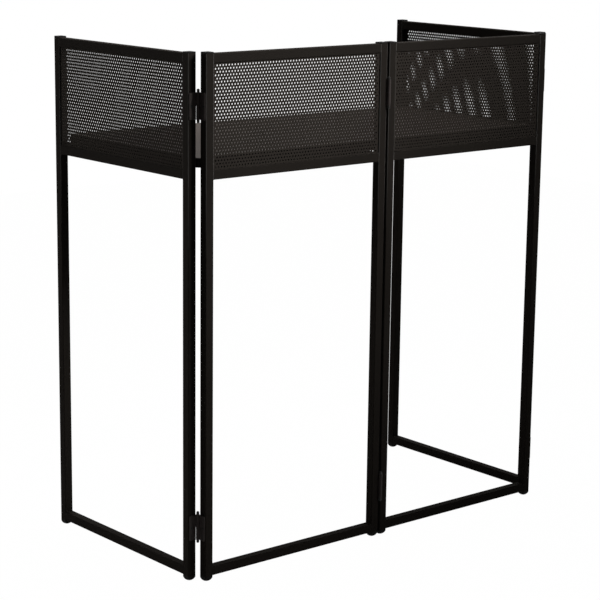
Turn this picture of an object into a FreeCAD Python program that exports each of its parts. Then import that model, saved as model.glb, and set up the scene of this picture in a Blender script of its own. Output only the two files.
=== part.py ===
import FreeCAD, Part
import math
import os

os.makedirs("parts", exist_ok=True)

# Folding booth: four hinged frames of square steel tube stand as a U round a lift-off table.
# Millimetres, +Z up, front towards -Y. The origin is the middle of the footprint, on the floor.
# Each frame is built in its own frame: x to the right as seen from outside, y from its outer face inwards.

# Square steel tube
TUBE = 20.0
TUBE_WALL = 1.2
TUBE_CORNER = 2.0

# One frame
FRAME_WIDTH = 495.0
POST_LENGTH = 1112.0
TABLE_RAIL_RISE = 854.0

# Plastic caps and feet, plugged into the posts
CAP_HEIGHT = 3.0
CAP_EDGE = 1.0
PLUG_LENGTH = 12.0
PLUG_CLEARANCE = 0.1
FOOT_HEIGHT = 11.0
FOOT_DOME = 15.0
FOOT_FLAT = 5.5

# Perforated screen
SCREEN_SETBACK = 3.0
SCREEN_THICKNESS = 1.5
HOLE_RADIUS = 2.0
HOLE_PITCH = 7.75
SCREEN_BORDER = 1.3

# Lift-off hinges: the swinging leaf's knuckle stands on the fixed one's, on a common pin
PIN_GAP = 3.0
PIN_OFFSET = 3.0
PIN_RADIUS = 3.0
PIN_CLEARANCE = 0.05
PIN_OVERHANG = 7.0
PIN_ROUND = 2.0
KNUCKLE_RADIUS = 4.0
KNUCKLE_GAP = 0.4
KNUCKLE_RELIEF = 0.5
LEAF_HEIGHT = 56.0
LEAF_THICKNESS = 2.0
LEAF_MARGIN = 2.0
LEAF_CORNER = 3.0
LEAF_SCREW_INSET = 7.0
LOWER_HINGE_RISE = 107.5
UPPER_HINGE_RISE = 1005.0

# Screws
SCREW_RADIUS = 2.0
SCREW_LENGTH = 8.0
SCREW_CLEARANCE = 0.1
SINK_RADIUS = 3.6
SINK_DEPTH = 1.6
PAN_RADIUS = 3.6
PAN_HEIGHT = 2.2
PAN_EDGE = 0.8
SOCKET_RADIUS = 1.4
SOCKET_DEPTH = 1.2

# Ledges and pads that carry the table
LEDGE_THICKNESS = 2.0
LEDGE_REACH = 18.0
LEDGE_CORNER = 4.0
LEDGE_END_GAP = 2.5
SCREEN_CLEARANCE = 1.0
FRONT_PAD_SPREAD = 97.5
WING_PAD_SPREAD = 167.5
PAD_WIDTH = 36.0
PAD_DEPTH = 11.0
PAD_THICKNESS = 1.5
PAD_MARGIN = 2.0
PAD_CORNER = 2.0

# Table
TABLE_DEPTH = 480.0
TABLE_THICKNESS = 20.0
TABLE_CORNER = 12.0
TABLE_CLEARANCE = 4.0
BAND_THICKNESS = 1.0
GLUE_GAP = 0.1

# Values that follow from the sizes above
POST_TOP = FOOT_HEIGHT + POST_LENGTH
TABLE_RAIL_TOP = FOOT_HEIGHT + TABLE_RAIL_RISE + TUBE
TOP_RAIL_UNDERSIDE = POST_TOP - TUBE
LEDGE_TOP = TABLE_RAIL_TOP + LEDGE_THICKNESS
TABLE_UNDERSIDE = LEDGE_TOP + PAD_THICKNESS
RAIL_LENGTH = FRAME_WIDTH - 2 * TUBE
DEPTH = PIN_OFFSET + KNUCKLE_RADIUS + TUBE + PIN_OFFSET + PIN_GAP + FRAME_WIDTH
FRONT_FACE = -DEPTH / 2 + PIN_OFFSET + KNUCKLE_RADIUS
HINGE_HEIGHTS = [FOOT_HEIGHT + LOWER_HINGE_RISE, FOOT_HEIGHT + UPPER_HINGE_RISE]
CORNER_PIN_X = FRAME_WIDTH + 2 * PIN_GAP
CORNER_PIN_Y = FRONT_FACE + TUBE + PIN_OFFSET
CENTRE_PIN_Y = FRONT_FACE - PIN_OFFSET

TOLERANCE = 1e-6
ORIGIN = FreeCAD.Vector(0, 0, 0)
X_AXIS = FreeCAD.Vector(1, 0, 0)
Y_AXIS = FreeCAD.Vector(0, 1, 0)
Z_AXIS = FreeCAD.Vector(0, 0, 1)


def checked(shape, name):
    """Hand a shape on, or stop if it isn't sound."""
    if not shape.isValid() or not shape.Solids:
        raise ValueError(name + " isn't a sound solid")
    return shape


def along(edge, axis):
    """Tell whether a straight edge runs along an axis."""
    first, last = edge.Vertexes[0].Point, edge.Vertexes[-1].Point
    return (last - first).cross(axis).Length < TOLERANCE and (last - first).Length > TOLERANCE


def plate(width, depth, thickness, corner):
    """Flat plate centred on the Z axis, standing on z = 0, with its upright edges rounded."""
    solid = Part.makeBox(width, depth, thickness, FreeCAD.Vector(-width / 2, -depth / 2, 0))
    if corner <= 0:
        return solid
    return solid.makeFillet(corner, [edge for edge in solid.Edges if along(edge, Z_AXIS)])


def tube(length):
    """Square tube along +Z from the origin."""
    bore_width = TUBE - 2 * TUBE_WALL
    bore = plate(bore_width, bore_width, length, TUBE_CORNER - TUBE_WALL)
    return plate(TUBE, TUBE, length, TUBE_CORNER).cut(bore)


def moved(shape, x, y, z):
    """Copy of a shape, shifted."""
    copy = shape.copy()
    copy.translate(FreeCAD.Vector(x, y, z))
    return copy


def plug():
    """Square plug along +Z that fills a tube's end."""
    width = TUBE - 2 * TUBE_WALL - 2 * PLUG_CLEARANCE
    return plate(width, width, PLUG_LENGTH, TUBE_CORNER - TUBE_WALL)


def cap():
    """Cap whose flange stands on z = 0, with its plug below."""
    flange = plate(TUBE, TUBE, CAP_HEIGHT, TUBE_CORNER)
    rim = [edge for edge in flange.Edges if edge.BoundBox.ZMin > CAP_HEIGHT / 2]
    return flange.makeFillet(CAP_EDGE, rim).fuse(moved(plug(), 0, 0, -PLUG_LENGTH)).removeSplitter()


def foot():
    """Glide foot standing on z = 0: a square block with a domed underside and a flat sole, and its plug."""
    dome = Part.makeSphere(FOOT_DOME, FreeCAD.Vector(0, 0, math.sqrt(FOOT_DOME ** 2 - FOOT_FLAT ** 2)))
    block = plate(TUBE, TUBE, FOOT_HEIGHT, TUBE_CORNER).common(dome)
    return block.fuse(moved(plug(), 0, 0, FOOT_HEIGHT)).removeSplitter()


def screen_strip(columns, first_x, height):
    """Strip of the screen with one row of holes along its middle, on z = 0."""
    right = TUBE + RAIL_LENGTH
    corners = [FreeCAD.Vector(TUBE, SCREEN_SETBACK, 0), FreeCAD.Vector(right, SCREEN_SETBACK, 0),
               FreeCAD.Vector(right, SCREEN_SETBACK, height), FreeCAD.Vector(TUBE, SCREEN_SETBACK, height)]
    wires = [Part.makePolygon(corners + corners[:1])]
    for column in range(columns):
        centre = FreeCAD.Vector(first_x + column * HOLE_PITCH, SCREEN_SETBACK, height / 2)
        wires.append(Part.Wire(Part.makeCircle(HOLE_RADIUS, centre, Y_AXIS)))
    return Part.makeFace(wires, "Part::FaceMakerBullseye").extrude(Y_AXIS * SCREEN_THICKNESS)


def screen():
    """Perforated sheet that fills the window above the table rail, its holes in staggered rows."""
    height = TOP_RAIL_UNDERSIDE - TABLE_RAIL_TOP
    row_pitch = HOLE_PITCH * math.sin(math.radians(60))
    columns = int((RAIL_LENGTH - 2 * SCREEN_BORDER) / HOLE_PITCH)
    rows = int((height - 2 * SCREEN_BORDER) / row_pitch)
    first_x = TUBE + (RAIL_LENGTH - (columns - 1) * HOLE_PITCH) / 2
    border = (height - rows * row_pitch) / 2
    # The two kinds of row take turns, so no face carries more than one row of holes.
    strips = [screen_strip(columns, first_x, row_pitch),
              screen_strip(columns - 1, first_x + HOLE_PITCH / 2, row_pitch)]
    edge = screen_strip(0, first_x, border)
    sheet = [moved(strips[row % 2], 0, 0, TABLE_RAIL_TOP + border + row * row_pitch) for row in range(rows)]
    sheet += [moved(edge, 0, 0, TABLE_RAIL_TOP), moved(edge, 0, 0, TOP_RAIL_UNDERSIDE - border)]
    return sheet[0].multiFuse(sheet[1:]).Solids[0]


def socket():
    """Hexagonal drive socket, cut down from z = 0."""
    corners = [FreeCAD.Vector(SOCKET_RADIUS * math.cos(math.radians(60 * i)),
                              SOCKET_RADIUS * math.sin(math.radians(60 * i)), 0) for i in range(7)]
    return Part.Face(Part.makePolygon(corners)).extrude(Z_AXIS * -SOCKET_DEPTH)


def countersunk_screw():
    """Countersunk screw along -Z with its head flush at z = 0."""
    head = Part.makeCone(SCREW_RADIUS, SINK_RADIUS, SINK_DEPTH, FreeCAD.Vector(0, 0, -SINK_DEPTH))
    shank = Part.makeCylinder(SCREW_RADIUS, SCREW_LENGTH - SINK_DEPTH, FreeCAD.Vector(0, 0, -SCREW_LENGTH))
    return head.fuse(shank).cut(socket())


def pan_screw():
    """Pan-head screw along -Z, seated at z = 0."""
    head = Part.makeCylinder(PAN_RADIUS, PAN_HEIGHT)
    head = head.makeFillet(PAN_EDGE, [edge for edge in head.Edges if edge.BoundBox.ZMin > PAN_HEIGHT / 2])
    shank = Part.makeCylinder(SCREW_RADIUS, SCREW_LENGTH, FreeCAD.Vector(0, 0, -SCREW_LENGTH))
    return head.fuse(shank).cut(moved(socket(), 0, 0, PAN_HEIGHT))


# A leaf is drawn with the pin on the Z axis, for a right-hand end with the pin past the inner face.
LEAF_FACE_X = LEAF_THICKNESS - PIN_GAP
LEAF_SCREW_Y = LEAF_SCREW_INSET - TUBE - PIN_OFFSET


def sink():
    """Clearance hole and countersink for a leaf's screw, along -Z from z = 0."""
    wide = SCREW_RADIUS + SCREW_CLEARANCE
    cone = Part.makeCone(wide, SINK_RADIUS + SCREW_CLEARANCE, SINK_DEPTH, FreeCAD.Vector(0, 0, -SINK_DEPTH))
    return cone.fuse(Part.makeCylinder(wide, SCREW_LENGTH, FreeCAD.Vector(0, 0, -SCREW_LENGTH)))


def in_leaf(shape):
    """Turn a screw or its hole from -Z to the leaf's face."""
    copy = shape.copy()
    copy.rotate(ORIGIN, Y_AXIS, 90)
    copy.translate(FreeCAD.Vector(LEAF_FACE_X, LEAF_SCREW_Y, 0))
    return copy


def leaf(knuckle_up):
    """Hinge leaf, centred in height, with its knuckle in the upper or the lower half."""
    width = TUBE + PIN_OFFSET - LEAF_MARGIN
    corner = FreeCAD.Vector(-PIN_GAP, -width, -LEAF_HEIGHT / 2)
    blank = Part.makeBox(LEAF_THICKNESS, width, LEAF_HEIGHT, corner)
    far = [edge for edge in blank.Edges if along(edge, X_AXIS) and edge.BoundBox.YMax < -width / 2]
    blank = blank.makeFillet(LEAF_CORNER, far)
    half = LEAF_HEIGHT / 2 - KNUCKLE_GAP / 2
    knuckle_base = KNUCKLE_GAP / 2 if knuckle_up else -LEAF_HEIGHT / 2
    relief_base = -LEAF_HEIGHT / 2 if knuckle_up else -KNUCKLE_GAP / 2
    relief = Part.makeCylinder(KNUCKLE_RADIUS + KNUCKLE_RELIEF, half + KNUCKLE_GAP,
                               FreeCAD.Vector(0, 0, relief_base))
    knuckle = Part.makeCylinder(KNUCKLE_RADIUS, half, FreeCAD.Vector(0, 0, knuckle_base))
    bore = Part.makeCylinder(PIN_RADIUS + PIN_CLEARANCE, LEAF_HEIGHT, FreeCAD.Vector(0, 0, -LEAF_HEIGHT / 2))
    return blank.cut(relief).fuse(knuckle).cut(bore).cut(in_leaf(sink())).removeSplitter()


def pin():
    """Hinge pin, centred in height, with rounded ends."""
    length = LEAF_HEIGHT + 2 * PIN_OVERHANG
    solid = Part.makeCylinder(PIN_RADIUS, length, FreeCAD.Vector(0, 0, -length / 2))
    ends = [edge for edge in solid.Edges if edge.BoundBox.ZLength < TOLERANCE]
    return solid.makeFillet(PIN_ROUND, ends)


def at_hinges(shape, end, face):
    """Copies of a leaf-frame shape at a frame's end, with the pin past its inner or outer face."""
    if end == "left":
        shape = shape.mirror(ORIGIN, X_AXIS)
    if face == "outer":
        shape = shape.mirror(ORIGIN, Y_AXIS)
    place = pin_place(end, face)
    return [moved(shape, place.x, place.y, height) for height in HINGE_HEIGHTS]


def pin_place(end, face):
    """Pin axis at a frame's end, in the frame's own coordinates."""
    x = -PIN_GAP if end == "left" else FRAME_WIDTH + PIN_GAP
    y = TUBE + PIN_OFFSET if face == "inner" else -PIN_OFFSET
    return FreeCAD.Vector(x, y, 0)


def standing(end, face, angle, pin_x, pin_y):
    """Placement that turns a frame about Z and brings its pin at one end to a given point."""
    turn = FreeCAD.Rotation(Z_AXIS, angle)
    return FreeCAD.Placement(FreeCAD.Vector(pin_x, pin_y, 0) - turn.multVec(pin_place(end, face)), turn)


PLACES = {
    "left_wing": standing("right", "inner", -90, -CORNER_PIN_X, CORNER_PIN_Y),
    "front_left": standing("right", "outer", 0, 0, CENTRE_PIN_Y),
    "front_right": standing("left", "outer", 0, 0, CENTRE_PIN_Y),
    "right_wing": standing("left", "inner", 90, CORNER_PIN_X, CORNER_PIN_Y),
}
POST_NAMES = {
    "left_wing": {"left": "rear_post", "right": "corner_post"},
    "front_left": {"left": "corner_post", "right": "centre_post"},
    "front_right": {"left": "centre_post", "right": "corner_post"},
    "right_wing": {"left": "corner_post", "right": "rear_post"},
}
# Hinge, face that its pins lie past, then the frame and end of its two sets of leaves
HINGES = [
    ("left_hinge", "inner", ("front_left", "left", "front_leaves"), ("left_wing", "right", "wing_leaves")),
    ("centre_hinge", "outer", ("front_left", "right", "left_leaves"),
     ("front_right", "left", "right_leaves")),
    ("right_hinge", "inner", ("front_right", "right", "front_leaves"), ("right_wing", "left", "wing_leaves")),
]


def write(node, frame, shapes):
    """Export one node's solids, brought from a frame's own coordinates to their place."""
    group = Part.makeCompound(shapes) if len(shapes) > 1 else shapes[0].copy()
    group.Placement = PLACES[frame].multiply(group.Placement) if frame else group.Placement
    group.exportStep("parts/" + node + ".step")


# Hinges
hinge_ends = {frame: [] for frame in PLACES}
for hinge, face, fixed, swinging in HINGES:
    for (frame, end, leaves), knuckle_up in ((fixed, False), (swinging, True)):
        write(hinge + "_" + leaves, frame, at_hinges(checked(leaf(knuckle_up), leaves), end, face))
        hinge_ends[frame].append((end, face))
    write(hinge + "_pins", fixed[0], at_hinges(checked(pin(), "pin"), fixed[1], face))

# Frames
perforated = checked(screen(), "screen")
rail_tube = checked(tube(RAIL_LENGTH), "rail")
rail_tube.rotate(ORIGIN, Y_AXIS, 90)
post_cap = checked(cap(), "cap")
post_foot = checked(foot(), "foot")
post_x = {"left": TUBE / 2, "right": FRAME_WIDTH - TUBE / 2}
ledge_start = SCREEN_SETBACK + SCREEN_THICKNESS + SCREEN_CLEARANCE
ledge_end = TUBE + LEDGE_REACH
ledge_blank = plate(RAIL_LENGTH - 2 * LEDGE_END_GAP, ledge_end - ledge_start, LEDGE_THICKNESS, LEDGE_CORNER)
ledge_blank = moved(ledge_blank, FRAME_WIDTH / 2, (ledge_start + ledge_end) / 2, TABLE_RAIL_TOP)
ledge_screw_y = (ledge_start + TUBE) / 2
ledge_hole = Part.makeCylinder(SCREW_RADIUS + SCREW_CLEARANCE, SCREW_LENGTH)
pad_blank = plate(PAD_WIDTH, PAD_DEPTH, PAD_THICKNESS, PAD_CORNER)
pad_y = ledge_end - PAD_MARGIN - PAD_DEPTH / 2
for frame in PLACES:
    screws = []
    drills = {"left": [], "right": []}
    for end, face in hinge_ends[frame]:
        leaf_screw = checked(in_leaf(countersunk_screw()), "leaf screw")
        screws += at_hinges(leaf_screw, end, face)
        drills[end] += at_hinges(in_leaf(sink()), end, face)
    for end, name in POST_NAMES[frame].items():
        post = moved(tube(POST_LENGTH), post_x[end], TUBE / 2, FOOT_HEIGHT)
        post = post.cut(drills[end]) if drills[end] else post
        write(frame + "_" + name, frame, [checked(post, name)])

    spread = WING_PAD_SPREAD if frame.endswith("wing") else FRONT_PAD_SPREAD
    pad_x = [FRAME_WIDTH / 2 - spread, FRAME_WIDTH / 2 + spread]
    holes = [moved(ledge_hole, x, ledge_screw_y, LEDGE_TOP - SCREW_LENGTH) for x in pad_x]
    screws += [moved(checked(pan_screw(), "ledge screw"), x, ledge_screw_y, LEDGE_TOP) for x in pad_x]
    write(frame + "_floor_rail", frame, [moved(rail_tube, TUBE, TUBE / 2, FOOT_HEIGHT + TUBE / 2)])
    write(frame + "_top_rail", frame, [moved(rail_tube, TUBE, TUBE / 2, POST_TOP - TUBE / 2)])
    table_rail = moved(rail_tube, TUBE, TUBE / 2, TABLE_RAIL_TOP - TUBE / 2)
    write(frame + "_table_rail", frame, [checked(table_rail.cut(holes), "table rail")])
    write(frame + "_ledge", frame, [checked(ledge_blank.cut(holes), "ledge")])
    write(frame + "_pads", frame, [moved(pad_blank, x, pad_y, LEDGE_TOP) for x in pad_x])
    write(frame + "_screws", frame, screws)
    write(frame + "_screen", frame, [perforated])
    write(frame + "_caps", frame, [moved(post_cap, x, TUBE / 2, POST_TOP) for x in post_x.values()])
    write(frame + "_feet", frame, [moved(post_foot, x, TUBE / 2, 0) for x in post_x.values()])

# Table, clear of the front frames and the wings
table_width = 2 * (CORNER_PIN_X + PIN_OFFSET - TABLE_CLEARANCE)
table_y = FRONT_FACE + TUBE + TABLE_CLEARANCE + TABLE_DEPTH / 2


def table_plate(inset):
    """The table's outline, drawn in by an inset."""
    outline = plate(table_width - 2 * inset, TABLE_DEPTH - 2 * inset, TABLE_THICKNESS, TABLE_CORNER - inset)
    return moved(outline, 0, table_y, TABLE_UNDERSIDE)


write("table_board", None, [table_plate(BAND_THICKNESS + GLUE_GAP)])
write("table_edge_band", None, [table_plate(0).cut(table_plate(BAND_THICKNESS))])
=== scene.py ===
import math

import bmesh
import bpy
from mathutils import Matrix, Vector


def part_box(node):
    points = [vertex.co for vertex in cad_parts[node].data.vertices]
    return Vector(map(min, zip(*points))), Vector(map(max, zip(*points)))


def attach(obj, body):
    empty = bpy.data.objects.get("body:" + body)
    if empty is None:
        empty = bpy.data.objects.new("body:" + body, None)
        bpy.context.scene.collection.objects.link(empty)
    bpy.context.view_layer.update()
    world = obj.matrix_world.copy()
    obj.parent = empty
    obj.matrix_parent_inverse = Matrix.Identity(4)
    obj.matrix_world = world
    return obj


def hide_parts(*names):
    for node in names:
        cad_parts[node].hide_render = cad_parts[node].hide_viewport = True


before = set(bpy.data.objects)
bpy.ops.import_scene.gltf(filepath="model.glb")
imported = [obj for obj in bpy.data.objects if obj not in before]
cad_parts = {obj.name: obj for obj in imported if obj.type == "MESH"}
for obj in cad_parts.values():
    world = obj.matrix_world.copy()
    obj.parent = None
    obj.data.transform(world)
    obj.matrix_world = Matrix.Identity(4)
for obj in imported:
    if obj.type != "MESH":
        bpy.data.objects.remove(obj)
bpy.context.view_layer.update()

# The posts and rails are lengths of square steel tube with rounded corners, sawn square.
# Three rails butt between the two posts of each frame, and the frame is powder coated after welding:
# a satin black skin, finely pebbled like orange peel, with a painted highlight that makes its upright
# corners lighter in their upper part.
MM = 0.001
FRAMES = {
    "left_wing": {"posts": ("rear_post", "corner_post"), "turn": -90},
    "front_left": {"posts": ("corner_post", "centre_post"), "turn": 0},
    "front_right": {"posts": ("centre_post", "corner_post"), "turn": 0},
    "right_wing": {"posts": ("corner_post", "rear_post"), "turn": 90},
}
RAILS = ("top_rail", "table_rail", "floor_rail")
post_low, post_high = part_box("front_left_corner_post")
far_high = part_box("front_left_centre_post")[1]
TUBE = post_high.x - post_low.x
FRAME_WIDTH = far_high.x - post_low.x
RAIL_LENGTH = FRAME_WIDTH - 2 * TUBE
POST_FOOT = post_low.z
POST_TOP = post_high.z
POST_X = (TUBE / 2, FRAME_WIDTH - TUBE / 2)
RAIL_MIDDLE = {rail: sum(corner.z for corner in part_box(f"front_left_{rail}")) / 2 for rail in RAILS}
TUBE_WALL = 1.2 * MM
TUBE_CORNER = 2.0 * MM
CORNER_STEPS = 6
LOOKS_UP = 0.9
QUARTER_TURN = math.radians(90)
SHARP_ANGLE = math.radians(35)
PEBBLE_DETAIL = 3
DRIFTS_PER_METRE = 9
DRIFT_DETAIL = 5
# The last three values paint a highlight: upright corners turn lighter in the upper part of the frames,
# where a lamp's reflection would run along them.
CORNER_FADE = (0.05, 0.4)
HIGHLIGHT_HEIGHTS = (0.70, 0.88)
PAINTED_HIGHLIGHT_COLOUR = (0.075, 0.071, 0.067, 1)


def upright_edges(shape):
    """The edges of a shape that run along Z."""
    return [edge for edge in shape.edges if edge.verts[0].co.xy == edge.verts[1].co.xy]


def end_faces(shape):
    """The faces of a shape that look up or down."""
    return [face for face in shape.faces if abs(face.normal.z) > LOOKS_UP]


def rounded_block(width, depth, height, corner):
    """A block standing on z = 0 about the Z axis, with its upright edges rounded."""
    block = bmesh.new()
    bmesh.ops.create_cube(block, size=1)
    bmesh.ops.scale(block, vec=(width, depth, height), verts=block.verts)
    bmesh.ops.translate(block, vec=(0, 0, height / 2), verts=block.verts)
    bmesh.ops.bevel(block, geom=upright_edges(block), offset=corner, offset_type="OFFSET",
                    segments=CORNER_STEPS, profile=0.5, affect="EDGES", material=-1)
    return block


def square_tube(length):
    """A length of tube from z = 0 upwards: a rounded block whose ends are drawn in and joined by a bore."""
    tube = rounded_block(TUBE, TUBE, length, TUBE_CORNER)
    ends = end_faces(tube)
    bmesh.ops.inset_individual(tube, faces=ends, thickness=TUBE_WALL, use_even_offset=True)
    bmesh.ops.delete(tube, geom=ends, context="FACES_ONLY")
    mouths = [edge for edge in tube.edges if edge.is_boundary]
    bmesh.ops.bridge_loops(tube, edges=mouths)
    return tube


def put(whole, shape, place):
    """Adds a copy of a shape to a piece, at its place."""
    copy = bpy.data.meshes.new("copy")
    shape.to_mesh(copy)
    copy.transform(place)
    whole.from_mesh(copy)
    bpy.data.meshes.remove(copy)


def copies(shape, places):
    """One piece made of copies of a shape, one at each place."""
    whole = bmesh.new()
    for place in places:
        put(whole, shape, place)
    return whole


def standing(name):
    """Where a frame stands: x runs along it from its first post, and y from its outer face inwards."""
    low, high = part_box(f"{name}_{FRAMES[name]['posts'][0]}")
    middle = (low + high) / 2
    turn = Matrix.Rotation(math.radians(FRAMES[name]["turn"]), 4, "Z")
    return Matrix.Translation((middle.x, middle.y, 0)) @ turn @ Matrix.Translation((-TUBE / 2, -TUBE / 2, 0))


def finished(name, shape, finish, body, nodes=(), weighted=True):
    """Makes a shape a shown piece that rides on a body and stands for CAD nodes."""
    bmesh.ops.recalc_face_normals(shape, faces=shape.faces)
    mesh = bpy.data.meshes.new(name)
    shape.to_mesh(mesh)
    shape.free()
    mesh.materials.append(finish)
    mesh.shade_smooth()
    mesh.set_sharp_from_angle(angle=SHARP_ANGLE)
    piece = bpy.data.objects.new(name, mesh)
    bpy.context.scene.collection.objects.link(piece)
    if weighted:
        piece.modifiers.new("flat_faces_stay_flat", "WEIGHTED_NORMAL").keep_sharp = True
    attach(piece, body)
    if nodes:
        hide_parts(*nodes)


def worked_out(tree, operation, *values):
    """Adds a Math node that works on sockets and plain numbers, and hands on its result."""
    node = tree.nodes.new("ShaderNodeMath")
    node.operation = operation
    for socket, value in zip(node.inputs, values):
        if isinstance(value, bpy.types.NodeSocket):
            tree.links.new(value, socket)
        else:
            socket.default_value = value
    return node.outputs[0]


def faded_in(tree, value, fade):
    """Adds a Map Range node that rises from 0 to 1 over a range, and hands on its result."""
    node = tree.nodes.new("ShaderNodeMapRange")
    node.inputs["From Min"].default_value, node.inputs["From Max"].default_value = fade
    tree.links.new(value, node.inputs["Value"])
    return node.outputs[0]


def pebbled_skin():
    """Node group: the tone, gloss and fine relief of a sprayed or moulded skin, with a painted highlight on
    its upright corners high up.
    """
    group = bpy.data.node_groups.new("pebbled_skin", "ShaderNodeTree")
    for name, kind in (("Colour", "NodeSocketColor"), ("Tone spread", "NodeSocketFloat"),
                       ("Roughness", "NodeSocketFloat"), ("Gloss spread", "NodeSocketFloat"),
                       ("Pebbles per metre", "NodeSocketFloat"), ("Painted highlight", "NodeSocketFloat")):
        group.interface.new_socket(name, in_out="INPUT", socket_type=kind)
    for name, kind in (("Colour", "NodeSocketColor"), ("Roughness", "NodeSocketFloat"),
                       ("Height", "NodeSocketFloat")):
        group.interface.new_socket(name, in_out="OUTPUT", socket_type=kind)
    nodes, links = group.nodes, group.links
    given = nodes.new("NodeGroupInput").outputs
    result = nodes.new("NodeGroupOutput").inputs
    place = nodes.new("ShaderNodeTexCoord").outputs

    pebbles = nodes.new("ShaderNodeTexNoise")
    pebbles.inputs["Detail"].default_value = PEBBLE_DETAIL
    links.new(place["Object"], pebbles.inputs["Vector"])
    links.new(given["Pebbles per metre"], pebbles.inputs["Scale"])
    drift = nodes.new("ShaderNodeTexNoise")
    drift.inputs["Scale"].default_value = DRIFTS_PER_METRE
    drift.inputs["Detail"].default_value = DRIFT_DETAIL
    links.new(place["Object"], drift.inputs["Vector"])
    mixed = worked_out(group, "ADD", pebbles.outputs["Fac"], drift.outputs["Fac"])
    centred = worked_out(group, "SUBTRACT", mixed, 1)
    tone = worked_out(group, "MULTIPLY_ADD", centred, given["Tone spread"], 1)
    tinted = nodes.new("ShaderNodeVectorMath")
    tinted.operation = "SCALE"
    links.new(given["Colour"], tinted.inputs[0])
    links.new(tone, tinted.inputs["Scale"])

    # Painted highlight: where the object-space normal lies between X and Y, on upright corners, and above a
    # height, the colour is mixed towards a lighter one in place of a lamp's reflection.
    facing = nodes.new("ShaderNodeSeparateXYZ")
    links.new(place["Normal"], facing.inputs[0])
    turned = worked_out(group, "MULTIPLY", facing.outputs["X"], facing.outputs["Y"])
    on_corner = faded_in(group, worked_out(group, "ABSOLUTE", turned), CORNER_FADE)
    where = nodes.new("ShaderNodeSeparateXYZ")
    links.new(place["Object"], where.inputs[0])
    in_highlight_band = faded_in(group, where.outputs["Z"], HIGHLIGHT_HEIGHTS)
    highlight_mask = worked_out(group, "MULTIPLY", on_corner, in_highlight_band)
    highlighted = nodes.new("ShaderNodeMix")
    highlighted.data_type = "RGBA"
    highlighted.inputs["B"].default_value = PAINTED_HIGHLIGHT_COLOUR
    links.new(worked_out(group, "MULTIPLY", highlight_mask, given["Painted highlight"]), highlighted.inputs["Factor"])
    links.new(tinted.outputs[0], highlighted.inputs["A"])

    gloss = worked_out(group, "MULTIPLY_ADD", centred, given["Gloss spread"], given["Roughness"])
    gloss.node.use_clamp = True
    links.new(highlighted.outputs["Result"], result["Colour"])
    links.new(gloss, result["Roughness"])
    links.new(pebbles.outputs["Fac"], result["Height"])
    return group


PEBBLED_SKIN = pebbled_skin()


def skinned(name, colour, tone_spread, roughness, gloss_spread, pebbles, relief, specular, painted_highlight=0):
    """A finish with the pebbled skin: relief is the height of its pebbles in metres."""
    finish = bpy.data.materials.new(name)
    finish.use_nodes = True
    nodes, links = finish.node_tree.nodes, finish.node_tree.links
    shader = nodes["Principled BSDF"]
    shader.inputs["Specular IOR Level"].default_value = specular
    skin = nodes.new("ShaderNodeGroup")
    skin.node_tree = PEBBLED_SKIN
    skin.inputs["Colour"].default_value = (*colour, 1)
    skin.inputs["Tone spread"].default_value = tone_spread
    skin.inputs["Roughness"].default_value = roughness
    skin.inputs["Gloss spread"].default_value = gloss_spread
    skin.inputs["Pebbles per metre"].default_value = pebbles
    skin.inputs["Painted highlight"].default_value = painted_highlight
    bump = nodes.new("ShaderNodeBump")
    bump.inputs["Distance"].default_value = relief
    links.new(skin.outputs["Colour"], shader.inputs["Base Color"])
    links.new(skin.outputs["Roughness"], shader.inputs["Roughness"])
    links.new(skin.outputs["Height"], bump.inputs["Height"])
    links.new(bump.outputs["Normal"], shader.inputs["Normal"])
    return finish


# The frame coat carries the painted highlight on its upright corners.
frame_coat = skinned("satin_black_powder_coat", colour=(0.0135, 0.0115, 0.0098), tone_spread=0.45,
                     roughness=0.72, gloss_spread=0.25, pebbles=1100, relief=0.06 * MM, specular=0.012,
                     painted_highlight=1)
post_tube = square_tube(POST_TOP - POST_FOOT)
rail_tube = square_tube(RAIL_LENGTH)
for name in FRAMES:
    stand = standing(name)
    for post, post_x in zip(FRAMES[name]["posts"], POST_X):
        upright = copies(post_tube, [stand @ Matrix.Translation((post_x, TUBE / 2, POST_FOOT))])
        finished(f"{name}_{post}_tube", upright, frame_coat, name, [f"{name}_{post}"])
    for rail in RAILS:
        start = Matrix.Translation((TUBE, TUBE / 2, RAIL_MIDDLE[rail]))
        level = copies(rail_tube, [stand @ start @ Matrix.Rotation(QUARTER_TURN, 4, "Y")])
        finished(f"{name}_{rail}_tube", level, frame_coat, name, [f"{name}_{rail}"])
post_tube.free()
rail_tube.free()

# The rails are welded to the posts: a fillet bead lies in each corner above and below a rail, laid in short
# ripples. The seams on the outer and inner faces are ground almost flush, and the coat covers them all.
BEAD_RADIUS = 1.7 * MM
BEAD_LENGTH = TUBE - 1.5 * TUBE_CORNER
SEAM_RADIUS = 1.5 * MM
SEAM_LENGTH = TUBE - TUBE_CORNER
SEAM_STANDS_OUT = 0.12 * MM
BEAD_SIDES = 10
RIPPLE_LENGTH = 1.3 * MM
RIPPLE_CUTS = 4
RIPPLE_SHARE = 0.13
END_SHARE = 0.35


def weld_bead(length, radius):
    """A rippled bead along Z, centred on the origin, with tapered ends."""
    bead = bmesh.new()
    bmesh.ops.create_cone(bead, cap_ends=True, segments=BEAD_SIDES, radius1=radius, radius2=radius,
                          depth=length)
    bmesh.ops.subdivide_edges(bead, edges=upright_edges(bead),
                              cuts=int(RIPPLE_CUTS * length / RIPPLE_LENGTH))
    for vert in bead.verts:
        ripple = 1 - RIPPLE_SHARE * abs(math.sin(math.pi * vert.co.z / RIPPLE_LENGTH))
        run_out = min(1, END_SHARE + (length / 2 - abs(vert.co.z)) / radius)
        vert.co.xy *= ripple * run_out
    return bead


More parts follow.
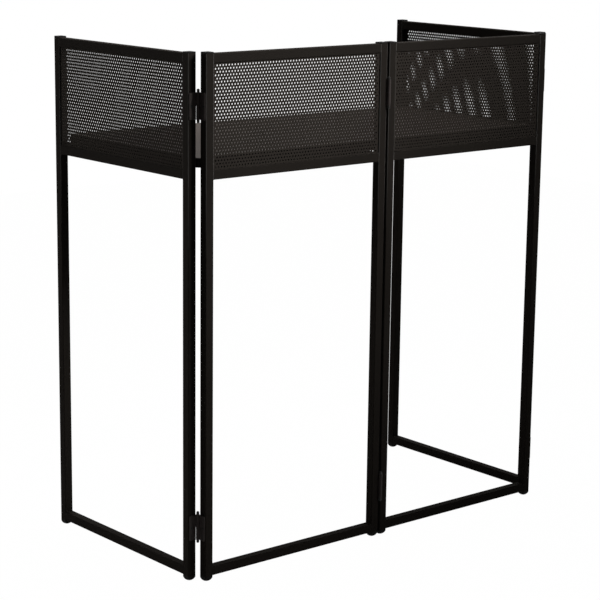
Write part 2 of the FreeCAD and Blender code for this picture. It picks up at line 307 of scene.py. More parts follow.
fillet_bead = weld_bead(BEAD_LENGTH, BEAD_RADIUS)
seam_bead = weld_bead(SEAM_LENGTH, SEAM_RADIUS)
across = Matrix.Rotation(QUARTER_TURN, 4, "X")
for name in FRAMES:
    stand = standing(name)
    welds = bmesh.new()
    for rail in RAILS:
        middle = RAIL_MIDDLE[rail]
        corners = [middle - TUBE / 2]
        if rail != "top_rail":
            corners.append(middle + TUBE / 2)
        for joint_x in (TUBE, FRAME_WIDTH - TUBE):
            for corner_z in corners:
                put(welds, fillet_bead, stand @ Matrix.Translation((joint_x, TUBE / 2, corner_z)) @ across)
            for seam_y in (SEAM_RADIUS - SEAM_STANDS_OUT, TUBE - SEAM_RADIUS + SEAM_STANDS_OUT):
                put(welds, seam_bead, stand @ Matrix.Translation((joint_x, seam_y, middle)))
    finished(f"{name}_welds", welds, frame_coat, name, weighted=False)
fillet_bead.free()
seam_bead.free()

# Each screen is a sheet of mild steel punched with round holes in staggered rows, cut to fill the window
# between the table rail and the top rail, tacked in just behind the frame's outer face and coated with it.
screen_low, screen_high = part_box("front_left_screen")
SCREEN_WIDTH = screen_high.x - screen_low.x
SCREEN_HEIGHT = screen_high.z - screen_low.z
SCREEN_THICKNESS = screen_high.y - screen_low.y
SCREEN_SETBACK = screen_low.y - post_low.y
SCREEN_MIDDLE = (FRAME_WIDTH / 2, SCREEN_SETBACK + SCREEN_THICKNESS / 2, (screen_low.z + screen_high.z) / 2)
HOLE_RADIUS = 2.0 * MM
HOLE_PITCH = 7.75 * MM
HOLE_SIDES = 12
SCREEN_BORDER = 1.3 * MM
SAME_POINT = 0.001 * MM
ROW_PITCH = HOLE_PITCH * math.sin(math.radians(60))
COLUMNS = int((SCREEN_WIDTH - 2 * SCREEN_BORDER) / HOLE_PITCH)
ROWS = int((SCREEN_HEIGHT - 2 * SCREEN_BORDER) / ROW_PITCH)


def verts_of(made):
    """The vertices among what an operator made."""
    return [item for item in made["geom"] if isinstance(item, bmesh.types.BMVert)]


def screen_cell(width, hole):
    """One flat rectangle of the sheet about the origin, with or without its hole."""
    cell = bmesh.new()
    side, end = width / 2, ROW_PITCH / 2
    rim = [cell.verts.new((x, y, 0)) for x, y in ((-side, -end), (0, -end), (side, -end),
                                                  (side, end), (0, end), (-side, end))]
    for first, last in zip(rim, rim[1:] + rim[:1]):
        cell.edges.new((first, last))
    if hole:
        bmesh.ops.create_circle(cell, segments=HOLE_SIDES, radius=HOLE_RADIUS)
    bmesh.ops.triangle_fill(cell, edges=cell.edges, use_beauty=True)
    return cell


def screen_row(count, half_ends):
    """A row of cells about the origin, closed by plain half cells where the row is a hole short."""
    row = bmesh.new()
    cell = screen_cell(HOLE_PITCH, True)
    for column in range(count):
        put(row, cell, Matrix.Translation(((column - (count - 1) / 2) * HOLE_PITCH, 0, 0)))
    cell.free()
    if half_ends:
        half = screen_cell(HOLE_PITCH / 2, False)
        for side in (-1, 1):
            put(row, half, Matrix.Translation((side * (count / 2 + 0.25) * HOLE_PITCH, 0, 0)))
        half.free()
    return row


def perforated_sheet():
    """The whole sheet about the origin, its thickness along Z."""
    sheet = bmesh.new()
    kinds = (screen_row(COLUMNS, False), screen_row(COLUMNS - 1, True))
    for row in range(ROWS):
        put(sheet, kinds[row % 2], Matrix.Translation((0, (row - (ROWS - 1) / 2) * ROW_PITCH, 0)))
    for kind in kinds:
        kind.free()
    bmesh.ops.remove_doubles(sheet, verts=sheet.verts, dist=SAME_POINT)
    half_width, half_height = COLUMNS * HOLE_PITCH / 2, ROWS * ROW_PITCH / 2
    outline = []
    for edge in sheet.edges:
        middle = (edge.verts[0].co + edge.verts[1].co) / 2
        on_side = abs(abs(middle.x) - half_width) < SAME_POINT
        if edge.is_boundary and (on_side or abs(abs(middle.y) - half_height) < SAME_POINT):
            outline.append(edge)
    border = bmesh.ops.extrude_edge_only(sheet, edges=outline)
    bmesh.ops.scale(sheet, vec=(SCREEN_WIDTH / 2 / half_width, SCREEN_HEIGHT / 2 / half_height, 1),
                    verts=verts_of(border))
    bmesh.ops.recalc_face_normals(sheet, faces=sheet.faces)
    bmesh.ops.solidify(sheet, geom=sheet.faces, thickness=SCREEN_THICKNESS)
    lowest = min(vert.co.z for vert in sheet.verts)
    bmesh.ops.translate(sheet, vec=(0, 0, -lowest - SCREEN_THICKNESS / 2), verts=sheet.verts)
    return sheet


screen_coat = skinned("satin_black_screen_coat", colour=(0.0216, 0.0184, 0.0157), tone_spread=0.4,
                      roughness=0.7, gloss_spread=0.25, pebbles=1400, relief=0.04 * MM, specular=0.012)
sheet = perforated_sheet()
stood_up = Matrix.Translation(SCREEN_MIDDLE) @ Matrix.Rotation(QUARTER_TURN, 4, "X")
for name in FRAMES:
    screen = copies(sheet, [standing(name) @ stood_up])
    finished(f"{name}_perforated_sheet", screen, screen_coat, name, [f"{name}_screen"],
             weighted=False)
sheet.free()

# A plastic cap closes the upper end of each post: a square flange with a rounded rim on a plug that is
# pushed into the tube. It is injection moulded in black, with a fine spark-eroded grain.
CAP_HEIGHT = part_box("front_left_caps")[1].z - POST_TOP
CAP_EDGE = 1.0 * MM
CAP_EDGE_STEPS = 4
PLUG_LENGTH = 12.0 * MM
PLUG_CLEARANCE = 0.1 * MM
PLUG_WIDTH = TUBE - 2 * TUBE_WALL - 2 * PLUG_CLEARANCE
PLUG_EDGE = 0.6 * MM
EASED_STEPS = 2


def eased(shape, edges, radius, steps=EASED_STEPS):
    """Rounds some edges of a shape."""
    bmesh.ops.bevel(shape, geom=edges, offset=radius, offset_type="OFFSET", segments=steps, profile=0.5,
                    affect="EDGES", material=-1)


def level_edges(shape, height):
    """The edges of a shape that lie at one height."""
    return [edge for edge in shape.edges if all(abs(vert.co.z - height) < SAME_POINT for vert in edge.verts)]


def add_plug(shape, place):
    """Adds the square plug that fills a tube's end, with its leading rim eased."""
    plug = rounded_block(PLUG_WIDTH, PLUG_WIDTH, PLUG_LENGTH, TUBE_CORNER - TUBE_WALL)
    eased(plug, level_edges(plug, PLUG_LENGTH), PLUG_EDGE)
    put(shape, plug, place)
    plug.free()


def post_cap():
    """A cap whose flange stands on z = 0."""
    cap = rounded_block(TUBE, TUBE, CAP_HEIGHT, TUBE_CORNER)
    eased(cap, level_edges(cap, CAP_HEIGHT), CAP_EDGE, CAP_EDGE_STEPS)
    add_plug(cap, Matrix.Rotation(2 * QUARTER_TURN, 4, "X"))
    return cap


moulded_black = skinned("moulded_black_plastic", colour=(0.0068, 0.0062, 0.0058), tone_spread=0.35,
                        roughness=0.6, gloss_spread=0.3, pebbles=1800, relief=0.03 * MM, specular=0.03)
cap = post_cap()
for name in FRAMES:
    seats = [(post_x, TUBE / 2, POST_TOP) for post_x in POST_X]
    pair = copies(cap, [standing(name) @ Matrix.Translation(seat) for seat in seats])
    finished(f"{name}_post_caps", pair, moulded_black, name, [f"{name}_caps"])
cap.free()

# A glide foot closes the lower end of each post and carries the booth: a square block with a domed underside
# and a flat sole on a plug, injection moulded in the same black, with a shallow hollow under it.
FOOT_DOME = 15.0 * MM
FOOT_FLAT = 5.5 * MM
DOME_SIDES = 64
DOME_RINGS = 48
SIDE_CUTS = 24
HOLLOW_MARGIN = 1.5 * MM
HOLLOW_DEPTH = 0.5 * MM


def cut_flat(shape, point, outwards):
    """Cuts off what lies beyond a plane and closes the cut."""
    bmesh.ops.bisect_plane(shape, geom=shape.verts[:] + shape.edges[:] + shape.faces[:], dist=SAME_POINT,
                           plane_co=point, plane_no=outwards, clear_outer=True)
    bmesh.ops.holes_fill(shape, edges=[edge for edge in shape.edges if edge.is_boundary], sides=0)


def glide_foot():
    """A foot standing on z = 0: a ball, cut to the tube's outline and to the foot's height."""
    foot = bmesh.new()
    middle = math.sqrt(FOOT_DOME ** 2 - FOOT_FLAT ** 2)
    bmesh.ops.create_uvsphere(foot, u_segments=DOME_SIDES, v_segments=DOME_RINGS, radius=FOOT_DOME,
                              matrix=Matrix.Translation((0, 0, middle)))
    for cut in range(SIDE_CUTS):
        turn = 2 * math.pi * cut / SIDE_CUTS
        way = Vector((math.cos(turn), math.sin(turn), 0))
        reach = (TUBE / 2 - TUBE_CORNER) * (abs(way.x) + abs(way.y)) + TUBE_CORNER
        cut_flat(foot, way * reach, way)
    cut_flat(foot, (0, 0, POST_FOOT), (0, 0, 1))
    cut_flat(foot, (0, 0, 0), (0, 0, -1))
    sole = [face for face in end_faces(foot) if abs(face.calc_center_median().z) < SAME_POINT]
    bmesh.ops.inset_individual(foot, faces=sole, thickness=HOLLOW_MARGIN, depth=-HOLLOW_DEPTH)
    add_plug(foot, Matrix.Translation((0, 0, POST_FOOT)))
    return foot


foot = glide_foot()
for name in FRAMES:
    seats = [(post_x, TUBE / 2, 0) for post_x in POST_X]
    pair = copies(foot, [standing(name) @ Matrix.Translation(seat) for seat in seats])
    finished(f"{name}_glide_feet", pair, moulded_black, name, [f"{name}_feet"])
foot.free()

# A flat steel bar along each table rail carries the table. It is cut to length, its corners are rounded,
# and it is screwed down on the rail behind the screen and reaches inwards under the board.
LEDGE_CORNER = 4.0 * MM
LEDGE_EDGE = 0.35 * MM
RIM_ANGLE = math.radians(60)
SCREW_RADIUS = 2.0 * MM
SCREW_CLEARANCE = 0.1 * MM
SCREW_HOLE = SCREW_RADIUS + SCREW_CLEARANCE
SCREW_SIDES = 24
PAD_WIDTH = 36.0 * MM
ledge_low, ledge_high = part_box("front_left_ledge")
LEDGE_LENGTH = ledge_high.x - ledge_low.x
LEDGE_DEPTH = ledge_high.y - ledge_low.y
LEDGE_THICKNESS = ledge_high.z - ledge_low.z
LEDGE_START = ledge_low.y - post_low.y
LEDGE_SCREW_Y = (LEDGE_START + TUBE) / 2
pads_low, pads_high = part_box("front_left_pads")
wing_pads_low, wing_pads_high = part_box("left_wing_pads")
FRONT_SPREAD = (pads_high.x - pads_low.x - PAD_WIDTH) / 2
WING_SPREAD = (wing_pads_high.y - wing_pads_low.y - PAD_WIDTH) / 2
SPREAD = {name: WING_SPREAD if name.endswith("wing") else FRONT_SPREAD for name in FRAMES}


def pierced_plate(plate, thickness, holes, hole_radius):
    """Turns a flat outline into a plate from z = 0 upwards with round holes."""
    bmesh.ops.delete(plate, geom=plate.faces[:], context="FACES_ONLY")
    for hole in holes:
        bmesh.ops.create_circle(plate, segments=SCREW_SIDES, radius=hole_radius,
                                matrix=Matrix.Translation(hole))
    bmesh.ops.triangle_fill(plate, edges=plate.edges, use_beauty=True)
    raised = bmesh.ops.extrude_face_region(plate, geom=plate.faces[:])
    bmesh.ops.translate(plate, vec=(0, 0, thickness), verts=verts_of(raised))
    bmesh.ops.recalc_face_normals(plate, faces=plate.faces)
    return plate


def rounded_outline(width, depth, corner):
    """A flat rectangle about the origin with rounded corners."""
    outline = bmesh.new()
    bmesh.ops.create_grid(outline, x_segments=1, y_segments=1, size=0.5)
    bmesh.ops.scale(outline, vec=(width, depth, 1), verts=outline.verts)
    bmesh.ops.bevel(outline, geom=outline.verts[:], offset=corner, offset_type="OFFSET",
                    segments=CORNER_STEPS, profile=0.5, affect="VERTICES", material=-1)
    return outline


def ease_rims(shape, radius):
    """Takes the sharpness off the rims of a stamped plate."""
    rims = [edge for edge in shape.edges if edge.is_manifold and edge.calc_face_angle() > RIM_ANGLE]
    eased(shape, rims, radius)


ledge_seat = Matrix.Translation((FRAME_WIDTH / 2, LEDGE_START + LEDGE_DEPTH / 2, ledge_low.z))
for name in FRAMES:
    hole_y = LEDGE_SCREW_Y - LEDGE_START - LEDGE_DEPTH / 2
    bar = pierced_plate(rounded_outline(LEDGE_LENGTH, LEDGE_DEPTH, LEDGE_CORNER), LEDGE_THICKNESS,
                        [(-SPREAD[name], hole_y, 0), (SPREAD[name], hole_y, 0)], SCREW_HOLE)
    ease_rims(bar, LEDGE_EDGE)
    ledge = copies(bar, [standing(name) @ ledge_seat])
    bar.free()
    finished(f"{name}_steel_ledge", ledge, frame_coat, name, [f"{name}_ledge"])

# Two rubber pads are stuck on each ledge, so that the board sits quietly and doesn't slide.
# They are cut from matt black sheet, pressed with a row of low ribs.
PAD_DEPTH = pads_high.y - pads_low.y
PAD_MIDDLE_Y = (pads_low.y + pads_high.y) / 2 - post_low.y
PAD_CORNER = 2.0 * MM
PAD_EDGE = 0.3 * MM
RIBS = 9
RIB_HEIGHT = 0.3 * MM
RIB_WIDTH = 2.0 * MM
RIB_CORNER = 0.6 * MM
RIB_EDGE = 0.25 * MM
RIB_PITCH = (PAD_WIDTH - 2 * PAD_CORNER) / RIBS
SHEET_THICKNESS = pads_high.z - pads_low.z - RIB_HEIGHT

rubber = skinned("matt_black_rubber", colour=(0.006, 0.0058, 0.0056), tone_spread=0.3, roughness=0.78,
                 gloss_spread=0.15, pebbles=2500, relief=0.03 * MM, specular=0.06)
pad = rounded_block(PAD_WIDTH, PAD_DEPTH, SHEET_THICKNESS, PAD_CORNER)
eased(pad, level_edges(pad, SHEET_THICKNESS), PAD_EDGE)
rib = rounded_block(RIB_WIDTH, PAD_DEPTH - 2 * PAD_CORNER, SHEET_THICKNESS, RIB_CORNER)
eased(rib, level_edges(rib, SHEET_THICKNESS), RIB_EDGE)
for number in range(RIBS):
    put(pad, rib, Matrix.Translation(((number - (RIBS - 1) / 2) * RIB_PITCH, 0, RIB_HEIGHT)))
rib.free()
for name in FRAMES:
    seats = [(FRAME_WIDTH / 2 + side * SPREAD[name], PAD_MIDDLE_Y, pads_low.z) for side in (-1, 1)]
    pair = copies(pad, [standing(name) @ Matrix.Translation(seat) for seat in seats])
    finished(f"{name}_rubber_pads", pair, rubber, name, [f"{name}_pads"])
pad.free()

# The hinge leaves are stamped from 2 mm steel, with one edge rolled into a knuckle over half their height.
# Each is screwed to a post's end face through a countersunk hole, and the swinging leaf's knuckle stands on
# the fixed one's, so that a frame can be lifted off. The coat on them is smoother and browner, and its
# colour is painted lighter than the frames' coat as a sheen, in place of the reflection the leaves catch.
PIN_GAP = 3.0 * MM
PIN_OFFSET = 3.0 * MM
PIN_RADIUS = 3.0 * MM
PIN_CLEARANCE = 0.05 * MM
PIN_BORE = PIN_RADIUS + PIN_CLEARANCE
KNUCKLE_RADIUS = 4.0 * MM
KNUCKLE_GAP = 0.4 * MM
KNUCKLE_RELIEF = 0.5 * MM
KNUCKLE_STEPS = 44
ROLL_SLIT = math.radians(14)
ROLL_START = math.radians(-120)
LEAF_HEIGHT = 56.0 * MM
LEAF_THICKNESS = 2.0 * MM
LEAF_MARGIN = 2.0 * MM
LEAF_CORNER = 3.0 * MM
LEAF_SCREW_INSET = 7.0 * MM
LEAF_EDGE = 0.3 * MM
LEAF_WIDTH = TUBE + PIN_OFFSET - LEAF_MARGIN
LEAF_SCREW_Y = LEAF_SCREW_INSET - TUBE - PIN_OFFSET
SINK_RADIUS = 3.6 * MM
leaves_low, leaves_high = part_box("left_hinge_front_leaves")
HINGE_HEIGHTS = (leaves_low.z + LEAF_HEIGHT / 2, leaves_high.z - LEAF_HEIGHT / 2)
HINGES = {
    "left_hinge": {"face": "inner", "fixed": ("front_left", "first", "front_leaves"),
                   "swinging": ("left_wing", "last", "wing_leaves")},
    "centre_hinge": {"face": "outer", "fixed": ("front_left", "last", "left_leaves"),
                     "swinging": ("front_right", "first", "right_leaves")},
    "right_hinge": {"face": "inner", "fixed": ("front_right", "last", "front_leaves"),
                    "swinging": ("right_wing", "first", "wing_leaves")},
}


def flat_leaf():
    """The flat of a leaf, lying down with the pin at x = 0: a stamped plate with a countersunk hole."""
    outline = bmesh.new()
    half = LEAF_HEIGHT / 2
    relief_edge = KNUCKLE_RADIUS + KNUCKLE_RELIEF
    corners = [outline.verts.new((y, z, 0)) for y, z in ((-LEAF_WIDTH, -half), (-relief_edge, -half),
                                                         (-relief_edge, KNUCKLE_GAP / 2),
                                                         (-PIN_BORE, KNUCKLE_GAP / 2),
                                                         (-PIN_BORE, half), (-LEAF_WIDTH, half))]
    outline.faces.new(corners)
    bmesh.ops.bevel(outline, geom=[corners[0], corners[-1]], offset=LEAF_CORNER, offset_type="OFFSET",
                    segments=CORNER_STEPS, profile=0.5, affect="VERTICES", material=-1)
    flat = pierced_plate(outline, LEAF_THICKNESS, [(LEAF_SCREW_Y, 0, 0)], SCREW_HOLE)
    centre = Vector((LEAF_SCREW_Y, 0, LEAF_THICKNESS))
    sunk = [vert for vert in flat.verts if (vert.co - centre).length < 2 * SCREW_RADIUS and vert.co.z > 0]
    widen = (SINK_RADIUS + SCREW_CLEARANCE) / SCREW_HOLE
    bmesh.ops.scale(flat, vec=(widen, widen, 1), space=Matrix.Translation(-centre), verts=sunk)
    ease_rims(flat, LEAF_EDGE)
    return flat


def rolled_knuckle():
    """The rolled edge of a leaf about the Z axis: a section of its wall, spun short of a full turn."""
    roll = bmesh.new()
    low, high = KNUCKLE_GAP / 2, LEAF_HEIGHT / 2
    wall = [roll.verts.new((x, 0, z)) for x, z in ((PIN_BORE, low), (KNUCKLE_RADIUS, low),
                                                   (KNUCKLE_RADIUS, high), (PIN_BORE, high))]
    roll.faces.new(wall)
    bmesh.ops.bevel(roll, geom=wall, offset=LEAF_EDGE, offset_type="OFFSET", segments=EASED_STEPS,
                    profile=0.5, affect="VERTICES", material=-1)
    bmesh.ops.spin(roll, geom=roll.verts[:] + roll.edges[:] + roll.faces[:], cent=(0, 0, 0), axis=(0, 0, 1),
                   angle=2 * math.pi - ROLL_SLIT, steps=KNUCKLE_STEPS, use_merge=False)
    return roll


def hinge_leaf():
    """A leaf about its pin on the Z axis, knuckle up, for a last post with the pin past its inner face."""
    to_post_end = Matrix(((0, 0, 1, -PIN_GAP), (1, 0, 0, 0), (0, 1, 0, 0), (0, 0, 0, 1)))
    flat, roll = flat_leaf(), rolled_knuckle()
    leaf = copies(flat, [to_post_end])
    put(leaf, roll, Matrix.Rotation(ROLL_START, 4, "Z"))
    flat.free()
    roll.free()
    return leaf


def pin_place(end, face, height):
    """Brings a shape drawn about a pin to a frame's end, mirrored to suit it."""
    mirror_x = -1 if end == "first" else 1
    mirror_y = -1 if face == "outer" else 1
    x = -PIN_GAP if end == "first" else FRAME_WIDTH + PIN_GAP
    y = -PIN_OFFSET if face == "outer" else TUBE + PIN_OFFSET
    return Matrix.Translation((x, y, height)) @ Matrix.Diagonal((mirror_x, mirror_y, 1, 1))


def hinge_places(name, end, face):
    """Where the pins of the lower and the upper hinge at a frame's end stand."""
    return [standing(name) @ pin_place(end, face, height) for height in HINGE_HEIGHTS]


# The hinge coat's colour is lighter than the frame coat's: a painted sheen in place of the leaves'
# reflection.
hinge_coat = skinned("smooth_brown_black_coat_painted_sheen", colour=(0.040, 0.034, 0.032), tone_spread=0.35,
                     roughness=0.45, gloss_spread=0.3, pebbles=500, relief=0.03 * MM, specular=0.03)
leaf = hinge_leaf()
WAY_UP = {"fixed": Matrix.Diagonal((1, 1, -1, 1)), "swinging": Matrix.Identity(4)}
for hinge, parts in HINGES.items():
    for kind in WAY_UP:
        name, end, leaves = parts[kind]
        pair = copies(leaf, [place @ WAY_UP[kind] for place in hinge_places(name, end, parts["face"])])
        finished(f"{hinge}_{leaves}_rolled", pair, hinge_coat, name, [f"{hinge}_{leaves}"])
leaf.free()

# The hinge pins are cut from drawn steel rod, rounded at both ends and chemically blackened.
# They are a push fit in the knuckles and stand a little proud of them above and below.
PIN_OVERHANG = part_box("left_hinge_pins")[1].z - leaves_high.z
PIN_LENGTH = LEAF_HEIGHT + 2 * PIN_OVERHANG
PIN_ROUND = 2.0 * MM
PIN_ROUND_STEPS = 5
PIN_SIDES = 36

blackened = skinned("blackened_steel", colour=(0.014, 0.0132, 0.0125), tone_spread=0.3, roughness=0.36,
                    gloss_spread=0.3, pebbles=700, relief=0.015 * MM, specular=0.15)
pin = bmesh.new()
bmesh.ops.create_cone(pin, cap_ends=True, segments=PIN_SIDES, radius1=PIN_RADIUS, radius2=PIN_RADIUS,
                      depth=PIN_LENGTH)
eased(pin, level_edges(pin, PIN_LENGTH / 2) + level_edges(pin, -PIN_LENGTH / 2), PIN_ROUND, PIN_ROUND_STEPS)
for hinge, parts in HINGES.items():
    name, end = parts["fixed"][:2]
    pair = copies(pin, hinge_places(name, end, parts["face"]))
    finished(f"{hinge}_steel_pins", pair, blackened, name, [f"{hinge}_pins"])
pin.free()

# The screws are black-plated machine screws with hexagon sockets: countersunk ones lie flush in the hinge
# leaves, and pan-headed ones hold the ledges down on the table rails.
SINK_DEPTH = 1.6 * MM
SCREW_LENGTH = 8.0 * MM
PAN_RADIUS = 3.6 * MM
PAN_HEIGHT = 2.2 * MM
PAN_TOP = 0.72 * PAN_RADIUS
PAN_SHOULDER = (0.9 * PAN_RADIUS, 0.9 * PAN_HEIGHT)
PAN_WALL = 0.65 * PAN_HEIGHT
SOCKET_SIDES = 6
SOCKET_RADIUS = 1.4 * MM
SOCKET_DEPTH = 1.2 * MM


def socket_screw(profile):
    """A screw along -Z: a socketed top face, then rings at its profile's radii and heights, then its tip."""
    screw = bmesh.new()
    radius, height = profile[0]
    bmesh.ops.create_circle(screw, segments=SCREW_SIDES, radius=radius)
    rim = screw.edges[:]
    bmesh.ops.create_circle(screw, segments=SOCKET_SIDES, radius=SOCKET_RADIUS)
    socket = [edge for edge in screw.edges if edge not in rim]
    bmesh.ops.translate(screw, vec=(0, 0, height), verts=screw.verts)
    bmesh.ops.triangle_fill(screw, edges=screw.edges, use_beauty=True)
    socket_floor = verts_of(bmesh.ops.extrude_edge_only(screw, edges=socket))
    bmesh.ops.translate(screw, vec=(0, 0, -SOCKET_DEPTH), verts=socket_floor)
    bmesh.ops.contextual_create(screw, geom=socket_floor)
    for next_radius, next_height in profile[1:]:
        grown = bmesh.ops.extrude_edge_only(screw, edges=rim)
        ring = verts_of(grown)
        rim = [item for item in grown["geom"] if isinstance(item, bmesh.types.BMEdge)]
        rim = [edge for edge in rim if all(vert in ring for vert in edge.verts)]
        bmesh.ops.scale(screw, vec=(next_radius / radius, next_radius / radius, 1), verts=ring)
        bmesh.ops.translate(screw, vec=(0, 0, next_height - height), verts=ring)
        radius, height = next_radius, next_height
    bmesh.ops.contextual_create(screw, geom=ring)
    return screw


plated = skinned("black_zinc_plate", colour=(0.014, 0.0132, 0.0125), tone_spread=0.3, roughness=0.33,
                 gloss_spread=0.25, pebbles=900, relief=0.015 * MM, specular=0.15)
sunk_screw = socket_screw([(SINK_RADIUS, 0), (SCREW_RADIUS, -SINK_DEPTH), (SCREW_RADIUS, -SCREW_LENGTH)])
pan_screw = socket_screw([(PAN_TOP, PAN_HEIGHT), PAN_SHOULDER, (PAN_RADIUS, PAN_WALL), (PAN_RADIUS, 0),
                          (SCREW_RADIUS, 0), (SCREW_RADIUS, -SCREW_LENGTH)])
leaf_face = Matrix.Translation((LEAF_THICKNESS - PIN_GAP, LEAF_SCREW_Y, 0))
in_leaf = leaf_face @ Matrix.Rotation(QUARTER_TURN, 4, "Y")
for name in FRAMES:
    screws = bmesh.new()
    for parts in HINGES.values():
        for leaf_frame, end, _ in (parts["fixed"], parts["swinging"]):
            if leaf_frame == name:
                for place in hinge_places(name, end, parts["face"]):
                    put(screws, sunk_screw, place @ in_leaf)
    for side in (-1, 1):
        seat = (FRAME_WIDTH / 2 + side * SPREAD[name], LEDGE_SCREW_Y, ledge_high.z)
        put(screws, pan_screw, standing(name) @ Matrix.Translation(seat))
    finished(f"{name}_socket_screws", screws, plated, name, [f"{name}_screws"])
sunk_screw.free()
pan_screw.free()

# The table is a loose board of particle board faced with a fine-textured black laminate.
# It lies on the rubber pads inside the frames and is lifted straight out.
board_low, board_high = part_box("table_board")
band_low, band_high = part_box("table_edge_band")
TABLE_CORNER = 12.0 * MM
BOARD_INSET = board_low.x - band_low.x
BOARD_THICKNESS = board_high.z - board_low.z
BOARD_EDGE = 0.25 * MM


def brought_to(low, high):
    """Brings a shape that stands on z = 0 about the Z axis to the middle of a box, on its underside."""
    return Matrix.Translation(((low.x + high.x) / 2, (low.y + high.y) / 2, low.z))


laminate = skinned("black_table_laminate", colour=(0.036, 0.028, 0.0235), tone_spread=0.35, roughness=0.7,
                   gloss_spread=0.2, pebbles=1500, relief=0.05 * MM, specular=0.12)
block = rounded_block(board_high.x - board_low.x, board_high.y - board_low.y, BOARD_THICKNESS,
                      TABLE_CORNER - BOARD_INSET)
eased(block, level_edges(block, 0) + level_edges(block, BOARD_THICKNESS), BOARD_EDGE)
board = copies(block, [brought_to(board_low, board_high)])
block.free()
finished("table_laminated_board", board, laminate, "table", ["table_board"])

# A black plastic band is glued round the edge of the board and follows its rounded corners.
# Its rims are trimmed flush and scraped round.
BAND_THICKNESS = 1.0 * MM
BAND_EDGE = 0.3 * MM

band_plastic = skinned("black_edge_band", colour=(0.0062, 0.0055, 0.0052), tone_spread=0.35, roughness=0.6,
                       gloss_spread=0.25, pebbles=1600, relief=0.03 * MM, specular=0.02)
strip = rounded_block(band_high.x - band_low.x, band_high.y - band_low.y, band_high.z - band_low.z,
                      TABLE_CORNER)
bmesh.ops.delete(strip, geom=end_faces(strip), context="FACES_ONLY")
bmesh.ops.recalc_face_normals(strip, faces=strip.faces)
bmesh.ops.solidify(strip, geom=strip.faces, thickness=BAND_THICKNESS)
ease_rims(strip, BAND_EDGE)
band = copies(strip, [brought_to(band_low, band_high)])
strip.free()
finished("table_glued_edge_band", band, band_plastic, "table", ["table_edge_band"])

# The booth stands on a plain white studio floor that takes its soft shadow.
# The floor and the backdrop look white to the camera, to gloss and to clear parts.
FLOOR_SIZE = 9.0
FLOOR_WHITE = 0.86
FLOOR_ROUGHNESS = 0.9
FLOOR_GLOW = 0.995
AMBIENT = 0.025


def white_to_the_eye(tree):
    """A mask that is 1 for rays from the camera, from gloss and through clear parts."""
    path = tree.nodes.new("ShaderNodeLightPath").outputs
    seen = path["Is Camera Ray"]
    for ray in ("Is Glossy Ray", "Is Transmission Ray"):
        seen = worked_out(tree, "MAXIMUM", seen, path[ray])
    return seen


floor_mesh = bmesh.new()
bmesh.ops.create_grid(floor_mesh, x_segments=1, y_segments=1, size=FLOOR_SIZE / 2)
floor_data = bpy.data.meshes.new("studio_floor")
floor_mesh.to_mesh(floor_data)
floor_mesh.free()
floor = bpy.data.objects.new("studio_floor", floor_data)
bpy.context.scene.collection.objects.link(floor)
floor_paint = bpy.data.materials.new("white_studio_floor")
floor_paint.use_nodes = True
nodes, links = floor_paint.node_tree.nodes, floor_paint.node_tree.links
matt = nodes["Principled BSDF"]
matt.inputs["Base Color"].default_value = (FLOOR_WHITE, FLOOR_WHITE, FLOOR_WHITE, 1)
matt.inputs["Roughness"].default_value = FLOOR_ROUGHNESS
matt.inputs["Specular IOR Level"].default_value = 0
glow = nodes.new("ShaderNodeEmission")
blend = nodes.new("ShaderNodeMixShader")
share = worked_out(floor_paint.node_tree, "MULTIPLY", white_to_the_eye(floor_paint.node_tree), FLOOR_GLOW)
links.new(share, blend.inputs["Fac"])
links.new(matt.outputs["BSDF"], blend.inputs[1])
links.new(glow.outputs["Emission"], blend.inputs[2])
links.new(blend.outputs["Shader"], nodes["Material Output"].inputs["Surface"])
floor_data.materials.append(floor_paint)

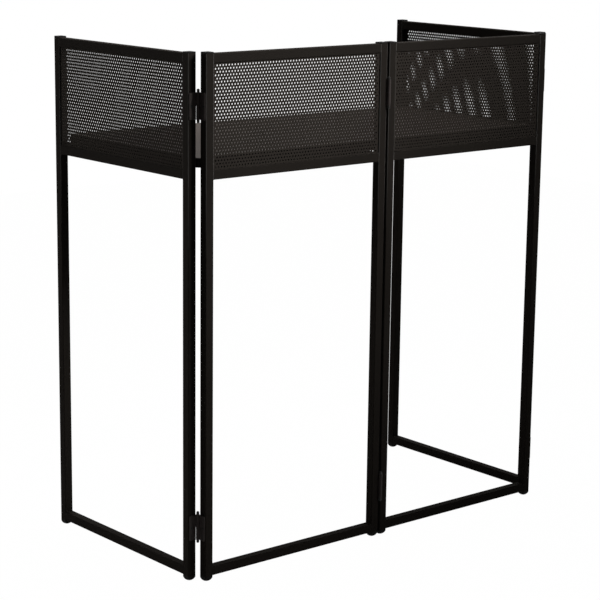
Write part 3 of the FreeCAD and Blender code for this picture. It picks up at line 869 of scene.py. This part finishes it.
world = bpy.data.worlds.new("white_studio")
world.use_nodes = True
bpy.context.scene.world = world
nodes, links = world.node_tree.nodes, world.node_tree.links
backdrop = nodes["Background"]
backdrop.inputs["Color"].default_value = (1, 1, 1, 1)
strength = nodes.new("ShaderNodeMapRange")
strength.inputs["To Min"].default_value = AMBIENT
strength.inputs["To Max"].default_value = 1
links.new(white_to_the_eye(world.node_tree), strength.inputs["Value"])
links.new(strength.outputs["Result"], backdrop.inputs["Strength"])

# Three soft boxes light the booth. The front one stands to the right and has a grid, so that its light falls
# off downwards and to the right, the side one lights the left wing from behind, and the top one the table.
SOFT_BOXES = {
    "front_soft_box": {"place": (1.3, -2.1, 2.3), "aim": (-0.35, -0.25, 1.2),
                       "size": 0.9, "spread": 44, "power": 9.5},
    "side_soft_box": {"place": (-2.2, 1.9, 1.6), "aim": (-1.0, -0.3, 0.8),
                      "size": 0.9, "spread": 50, "power": 4.4},
    "top_soft_box": {"place": (0.3, 0.4, 3.4), "aim": (0, 0, 0.9),
                     "size": 1.6, "spread": 90, "power": 18},
}
for name, box in SOFT_BOXES.items():
    lamp = bpy.data.lights.new(name, "AREA")
    lamp.shape = "SQUARE"
    lamp.size = box["size"]
    lamp.spread = math.radians(box["spread"])
    lamp.energy = box["power"]
    soft_box = bpy.data.objects.new(name, lamp)
    soft_box.location = box["place"]
    soft_box.rotation_euler = (Vector(box["aim"]) - soft_box.location).to_track_quat("-Z", "Y").to_euler()
    bpy.context.scene.collection.objects.link(soft_box)

# The camera stands where the photograph was taken: ahead of the left front corner, above table height.
# Its place, turn and lens are fitted to the straight edges of the frames in the photograph.
CAMERA_PLACE = (-2.8613, -3.3714, 1.4578)
CAMERA_TURN = math.radians(-40.045)
CAMERA_TILT = math.radians(90 - 12.127)
CAMERA_ROLL = math.radians(0.700)
LENS = 115.946
SENSOR_WIDTH = 36

camera_data = bpy.data.cameras.new("photo_camera")
camera_data.lens = LENS
camera_data.sensor_width = SENSOR_WIDTH
camera = bpy.data.objects.new("photo_camera", camera_data)
turned = Matrix.Rotation(CAMERA_TURN, 4, "Z") @ Matrix.Rotation(CAMERA_TILT, 4, "X")
camera.matrix_world = Matrix.Translation(CAMERA_PLACE) @ turned @ Matrix.Rotation(CAMERA_ROLL, 4, "Z")
bpy.context.scene.collection.objects.link(camera)
bpy.context.scene.camera = camera
bpy.context.scene.view_settings.view_transform = "Standard"
